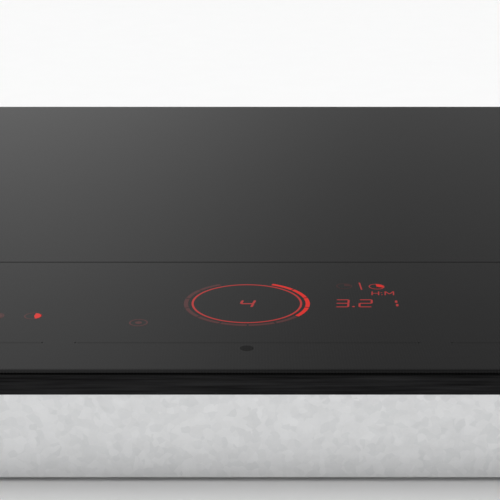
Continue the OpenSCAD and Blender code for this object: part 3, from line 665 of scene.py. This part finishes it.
def add_pad(mesh, x, y, inner, outer, low, high, around=96, across=14):
    """A flat round pad with a hole. Its rims are round, and its top dips a little between faint rings."""
    half = (high - low) / 2
    middle = (low + high) / 2
    section = []
    for rim, edge in ((1, outer - half), (-1, inner + half)):
        for i in range(7):
            a = rim * (-math.pi / 2 + math.pi * i / 6)
            section.append((edge + rim * half * math.cos(a), middle + half * math.sin(a), a > 0.8))
        if rim == 1:
            for k in range(1, across):
                section.append((edge + (inner + 2 * half - outer) * k / across, high, True))
    loops = []
    for radius, z, on_top in section:
        loop = []
        for i in range(around):
            a = 2 * math.pi * i / around
            dip = 0.12 * MM * (1 + math.sin(5 * a + radius * 300) * math.cos(radius * 900)) if on_top else 0
            loop.append((x + radius * math.cos(a), y + radius * math.sin(a), z - dip))
        loops.append(loop)
    add_ring(mesh, loops)


# ---------------------------------------------------------------- springs, leads and flat cable


def add_sweep(mesh, path, side, section):
    """A closed solid: section, as (along side, along the normal) points, run along a path in one plane."""
    rows = []
    for i, point in enumerate(path):
        tangent = (path[min(i + 1, len(path) - 1)] - path[max(i - 1, 0)]).normalized()
        normal = side.cross(tangent)
        rows.append([mesh.verts.new(point + side * a + normal * b) for a, b in section])
    count = len(section)
    for row, following in zip(rows, rows[1:]):
        for i in range(count):
            j = (i + 1) % count
            mesh.faces.new((row[i], row[j], following[j], following[i]))
    mesh.faces.new(rows[0][::-1])
    mesh.faces.new(rows[-1])


def strip_section(width, thickness):
    """A flat strip with its corners taken off."""
    w, h = width / 2, thickness / 2
    cut = h * 0.5
    return [(-w + cut, -h), (w - cut, -h), (w, -h + cut), (w, h - cut), (w - cut, h), (-w + cut, h),
            (-w, h - cut), (-w, -h + cut)]


def round_section(radius, sides=20):
    return [(radius * math.cos(2 * math.pi * i / sides), radius * math.sin(2 * math.pi * i / sides))
            for i in range(sides)]


def leaf_springs(name, places, low, high):
    """Bent leaf springs at places."""
    reach, bend, leaf, width = 15 * MM, 5.5 * MM, 0.6 * MM, 12 * MM
    rise = high - low
    mesh = bmesh.new()
    for x, y in places:
        path = []
        for i in range(37):
            along = -reach + 2 * reach * i / 36
            share = max(0.0, min(1.0, (along + bend) / (2 * bend)))
            share = share * share * (3 - 2 * share)
            path.append(Vector((x + along, y, low + leaf / 2 + (rise - leaf) * share)))
        add_sweep(mesh, path, Vector((0, 1, 0)), strip_section(width, leaf))
    bmesh.ops.recalc_face_normals(mesh, faces=mesh.faces)
    springs = smooth_curves(new_piece(name, mesh, "hob", FINISHES["spring_steel"]))
    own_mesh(springs)
    return springs


def smooth_curves(piece, degrees=35):
    """Smooth shading, but with the edges sharper than this kept crisp."""
    smooth(piece)
    piece.data.set_sharp_from_angle(angle=math.radians(degrees))
    return piece


def all_springs():
    low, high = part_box("deck_springs")
    for side in ("left", "right"):
        deck_low, deck_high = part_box("coil_deck_" + side)
        middle = (deck_low + deck_high) / 2
        places = [(middle.x + sx * 100 * MM, middle.y + sy * 165 * MM) for sx in (-1, 1) for sy in (-1, 1)]
        springs = leaf_springs("leaf_springs_" + side, places, low.z, high.z)
        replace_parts(springs, "deck_springs")
    low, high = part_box("ui_springs")
    places = [(x * MM, y) for x in (-140, -50, 50, 140) for y in (low.y + 6 * MM, high.y - 6 * MM)]
    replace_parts(leaf_springs("panel_springs", places, low.z, high.z), "ui_springs")


def coil_leads():
    """Sleeved leads: up through the shield and the deck, round an elbow, and out to the rim of each coil."""
    low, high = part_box("coil_leads")
    radius, elbow = 1.8 * MM, 4 * MM
    level = high.z - radius
    ends = ((43 * MM, -84 * MM, 48.25 * MM), (59 * MM, 82 * MM, 47.0 * MM))
    for name, sign in (("left", -1), ("right", 1)):
        mesh = bmesh.new()
        for y, across, length in ends:
            foot = Vector((sign * 22 * MM, y, low.z))
            out = Vector((sign * 106 * MM, across, 0)).normalized()
            path = [foot + Vector((0, 0, (level - elbow - low.z) * i / 12)) for i in range(13)]
            for i in range(1, 9):
                a = math.pi / 2 * i / 8
                path.append(Vector((foot.x, foot.y, level - elbow + elbow * math.sin(a)))
                            + out * elbow * (1 - math.cos(a)))
            path += [Vector((foot.x, foot.y, level)) + out * (elbow + (length - elbow) * i / 8)
                     for i in range(1, 9)]
            add_sweep(mesh, path, Vector((-out.y, out.x, 0)), round_section(radius))
        bmesh.ops.recalc_face_normals(mesh, faces=mesh.faces)
        leads = smooth_curves(new_piece("sleeved_leads_" + name, mesh, None, FINISHES["lead_sleeve"]))
        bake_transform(leads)
        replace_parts(leads, "coil_leads")


def flat_cable():
    """The flat cable from the power board up to the touch board, with round bends and a little slack."""
    low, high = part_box("ui_ribbon")
    tape, bend = 0.6 * MM, 1.6 * MM
    x, down = (low.x + high.x) / 2, -136 * MM
    top, foot = high.z - tape / 2, low.z + tape / 2
    path = [Vector((x, low.y, top)), Vector((x, down - bend, top))]
    path += [Vector((x, down - bend + bend * math.sin(a), top - bend + bend * math.cos(a)))
             for a in (math.pi / 2 * i / 6 for i in range(1, 7))]
    path += [Vector((x, down, top - bend + (foot - top + 2 * bend) * i / 12)) for i in range(1, 13)]
    path += [Vector((x, down + bend - bend * math.cos(a), foot + bend - bend * math.sin(a)))
             for a in (math.pi / 2 * i / 6 for i in range(1, 7))]
    path.append(Vector((x, high.y, foot)))
    mesh = bmesh.new()
    add_sweep(mesh, path, Vector((1, 0, 0)), strip_section(high.x - low.x, tape))
    bmesh.ops.recalc_face_normals(mesh, faces=mesh.faces)
    cable = smooth_curves(new_piece("flat_cable", mesh, None, FINISHES["ribbon_tape"]))
    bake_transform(cable)
    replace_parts(cable, "ui_ribbon")


# ---------------------------------------------------------------- screws

CLAMP_X, CLAMP_Y = 264 * MM, 228 * MM
CORNERS = ((1, 1), (-1, 1), (-1, -1), (1, -1))
THREAD_PITCH = 1.8 * MM


def around_z(x, y, radii, z):
    """A ring of points about a vertical axis, one for each radius."""
    count = len(radii)
    return [(x + r * math.cos(2 * math.pi * i / count), y + r * math.sin(2 * math.pi * i / count), z)
            for i, r in enumerate(radii)]


def add_skin(mesh, loops, first, last):
    """A closed skin over rings of points, ending in the points first and last."""
    rows = [[mesh.verts.new(p) for p in loop] for loop in loops]
    count = len(rows[0])
    for row, following in zip(rows, rows[1:]):
        for i in range(count):
            j = (i + 1) % count
            mesh.faces.new((row[i], row[j], following[j], following[i]))
    for row, point, step in ((rows[0], first, -1), (rows[-1], last, 1)):
        tip = mesh.verts.new(point)
        for i in range(count):
            j = (i + 1) % count
            mesh.faces.new((row[i], row[j], tip) if step > 0 else (row[j], row[i], tip))


# (radius, height) in mm: the clamp screw's head, neck and collar, and the wall screw from crown to tip
CLAMP_SCREW_HEAD = ((5.6, 0.0), (6.0, 0.35), (6.0, 2.05), (5.7, 2.4), (3.0, 2.4), (3.0, 3.3), (4.7, 3.3),
                    (5.0, 3.55), (5.0, 4.05), (4.7, 4.3), (3.0, 4.3))
WALL_SCREW = ((0.5, 1.72), (1.0, 1.70), (1.5, 1.64), (2.0, 1.52), (2.6, 1.28), (3.1, 0.85), (3.35, 0.4),
              (3.4, 0.06), (1.65, 0.05), (1.65, -6.4), (1.0, -6.95))
WALL_SCREW_Z = 45 * MM


def clamp_screws():
    """Clamp screws with a hexagon recess in the head, a collar and a right-hand thread."""
    count = 36
    crest, depth = 3.1 * MM, 0.5 * MM
    side, across = math.pi / 3, 2.9 * MM * math.cos(math.pi / 6)
    hexagon = [across / math.cos((2 * math.pi * i / count) % side - side / 2) for i in range(count)]
    for number, (sx, sy) in enumerate(CORNERS, 1):
        x, y = sx * CLAMP_X, sy * CLAMP_Y
        low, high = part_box("clamp_screw_%d" % number)
        loops = [around_z(x, y, hexagon, low.z + 1.65 * MM), around_z(x, y, hexagon, low.z)]
        loops += [around_z(x, y, [r * MM] * count, low.z + z * MM) for r, z in CLAMP_SCREW_HEAD]
        start, end = low.z + 4.5 * MM, high.z - 1.0 * MM
        rows = int((end - start) / THREAD_PITCH * 6)
        for k in range(rows + 1):
            z = start + (end - start) * k / rows
            radii = []
            for i in range(count):
                turn = (z / THREAD_PITCH - i / count) % 1.0
                radii.append(crest - depth * min(1.0, 2.6 * abs(turn - 0.5)))
            loops.append(around_z(x, y, radii, z))
        loops.append(around_z(x, y, [2.1 * MM] * count, high.z))
        mesh = bmesh.new()
        add_skin(mesh, loops, (x, y, low.z + 1.65 * MM), (x, y, high.z))
        body = "clamp_bolt_%d" % number
        screw = new_piece("threaded_screw_%d" % number, mesh, body, FINISHES["zinc_plate"])
        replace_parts(screw, "clamp_screw_%d" % number)


def on_wall(wall, side, out, up):
    """A point by a wall screw: sideways, outwards from the wall, and up."""
    along, depth, degrees = wall
    turn = math.radians(degrees)
    x, y = along + side, -depth - out
    sine, cosine = math.sin(turn), math.cos(turn)
    return (x * cosine - y * sine, x * sine + y * cosine, WALL_SCREW_Z + up)


def housing_screws():
    """Round-headed screws with a cross recess, through the housing's walls into the brackets."""
    count = 24
    walls = [(x * MM, 240 * MM, 0) for x in (-235, -190, 190, 235)]
    walls += [(x * MM, 240 * MM, 180) for x in (-235, -20, 20, 235)]
    walls += [(y * MM, 276 * MM, turn) for y in (-100, 0, 100) for turn in (90, -90)]
    mesh = bmesh.new()
    for wall in walls:
        loops = []
        for radius, out in WALL_SCREW:
            loop = []
            for i in range(count):
                a = 2 * math.pi * i / count
                # Only the crown is recessed: the root of the shank has to stay clear of the sheet
                sunk = 1.0 - radius / 2.3 if i % 6 == 0 and radius < 2.2 and out > 1.0 else 0.0
                loop.append(on_wall(wall, radius * MM * math.cos(a), (out - sunk) * MM,
                                    radius * MM * math.sin(a)))
            loops.append(loop)
        add_skin(mesh, loops, on_wall(wall, 0, 0.7 * MM, 0), on_wall(wall, 0, -7.0 * MM, 0))
    bmesh.ops.recalc_face_normals(mesh, faces=mesh.faces)
    screws = new_piece("cross_recess_screws", mesh, "hob", FINISHES["zinc_plate"])
    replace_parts(screws, "housing_screws")


# ---------------------------------------------------------------- studio


def make_floor():
    mesh = bmesh.new()
    half = 14.0
    corners = ((-half, -half), (half, -half), (half, half), (-half, half))
    mesh.faces.new([mesh.verts.new((x, y, 0)) for x, y in corners])
    data = bpy.data.meshes.new("floor")
    mesh.to_mesh(data)
    mesh.free()
    floor = bpy.data.objects.new("floor", data)
    bpy.context.scene.collection.objects.link(floor)
    f = Finish("floor", (0.88, 0.88, 0.88), 0.8, Specular_IOR_Level=0.1)
    f.set("Base Color", f.mix(f.noise(30.0, 3.0), (0.87, 0.87, 0.87), (0.89, 0.89, 0.89)))
    coat(floor, f)


def make_world():
    """A dim even room, a little brighter to the left behind the hob, which the glass mirrors."""
    world = bpy.data.worlds.new("studio")
    bpy.context.scene.world = world
    world.use_nodes = True
    tree = world.node_tree
    background = tree.nodes["Background"]

    def add(kind, inputs=(), **settings):
        node = tree.nodes.new("ShaderNode" + kind)
        for key, value in settings.items():
            setattr(node, key, value)
        for socket, value in dict(inputs).items():
            if isinstance(value, bpy.types.NodeSocket):
                tree.links.new(value, node.inputs[socket])
            else:
                node.inputs[socket].default_value = value
        return node

    toward = add("TexCoord").outputs["Generated"]
    level = add("VectorMath", {0: toward, 1: (1, 1, 0)}, operation="MULTIPLY").outputs["Vector"]
    level = add("VectorMath", {0: level}, operation="NORMALIZE").outputs["Vector"]
    right = add("SeparateXYZ", {"Vector": level}).outputs["X"]
    glow = add("MapRange", {"Value": right, "From Min": -0.225, "From Max": 0.145, "To Min": 0.36,
                            "To Max": 0.17}, interpolation_type="SMOOTHSTEP").outputs["Result"]
    background.inputs["Color"].default_value = (1, 1, 1, 1)
    tree.links.new(glow, background.inputs["Strength"])


def make_light():
    """One very soft light from above and a little to the left. The glass doesn't mirror it."""
    data = bpy.data.lights.new("overhead", "SUN")
    data.energy, data.angle = 2.95, math.radians(80)
    light = bpy.data.objects.new("overhead", data)
    bpy.context.scene.collection.objects.link(light)
    light.rotation_euler = Vector((0.35, 0.3, -1)).to_track_quat("-Z", "Y").to_euler()
    light.visible_glossy = False


def make_camera():
    data = bpy.data.cameras.new("camera")
    data.lens, data.sensor_width = 90.0, 36.0
    data.clip_start, data.clip_end = 0.05, 60.0
    camera = bpy.data.objects.new("camera", data)
    bpy.context.scene.collection.objects.link(camera)
    camera.location = (1.4 * MM, GLASS_FRONT - 451.4 * MM, GLASS_TOP + 195.4 * MM)
    camera.rotation_euler = (math.radians(90 - 17.98), 0, 0)
    bpy.context.scene.camera = camera


coat_frame()
coat_components()
coat_wires()
display_marks()
printed_lines()
soft_strips()
coil_pads()
all_springs()
coil_leads()
flat_cable()
clamp_screws()
housing_screws()
make_floor()
make_world()
make_light()
make_camera()
bpy.context.scene.view_settings.view_transform = "Standard"
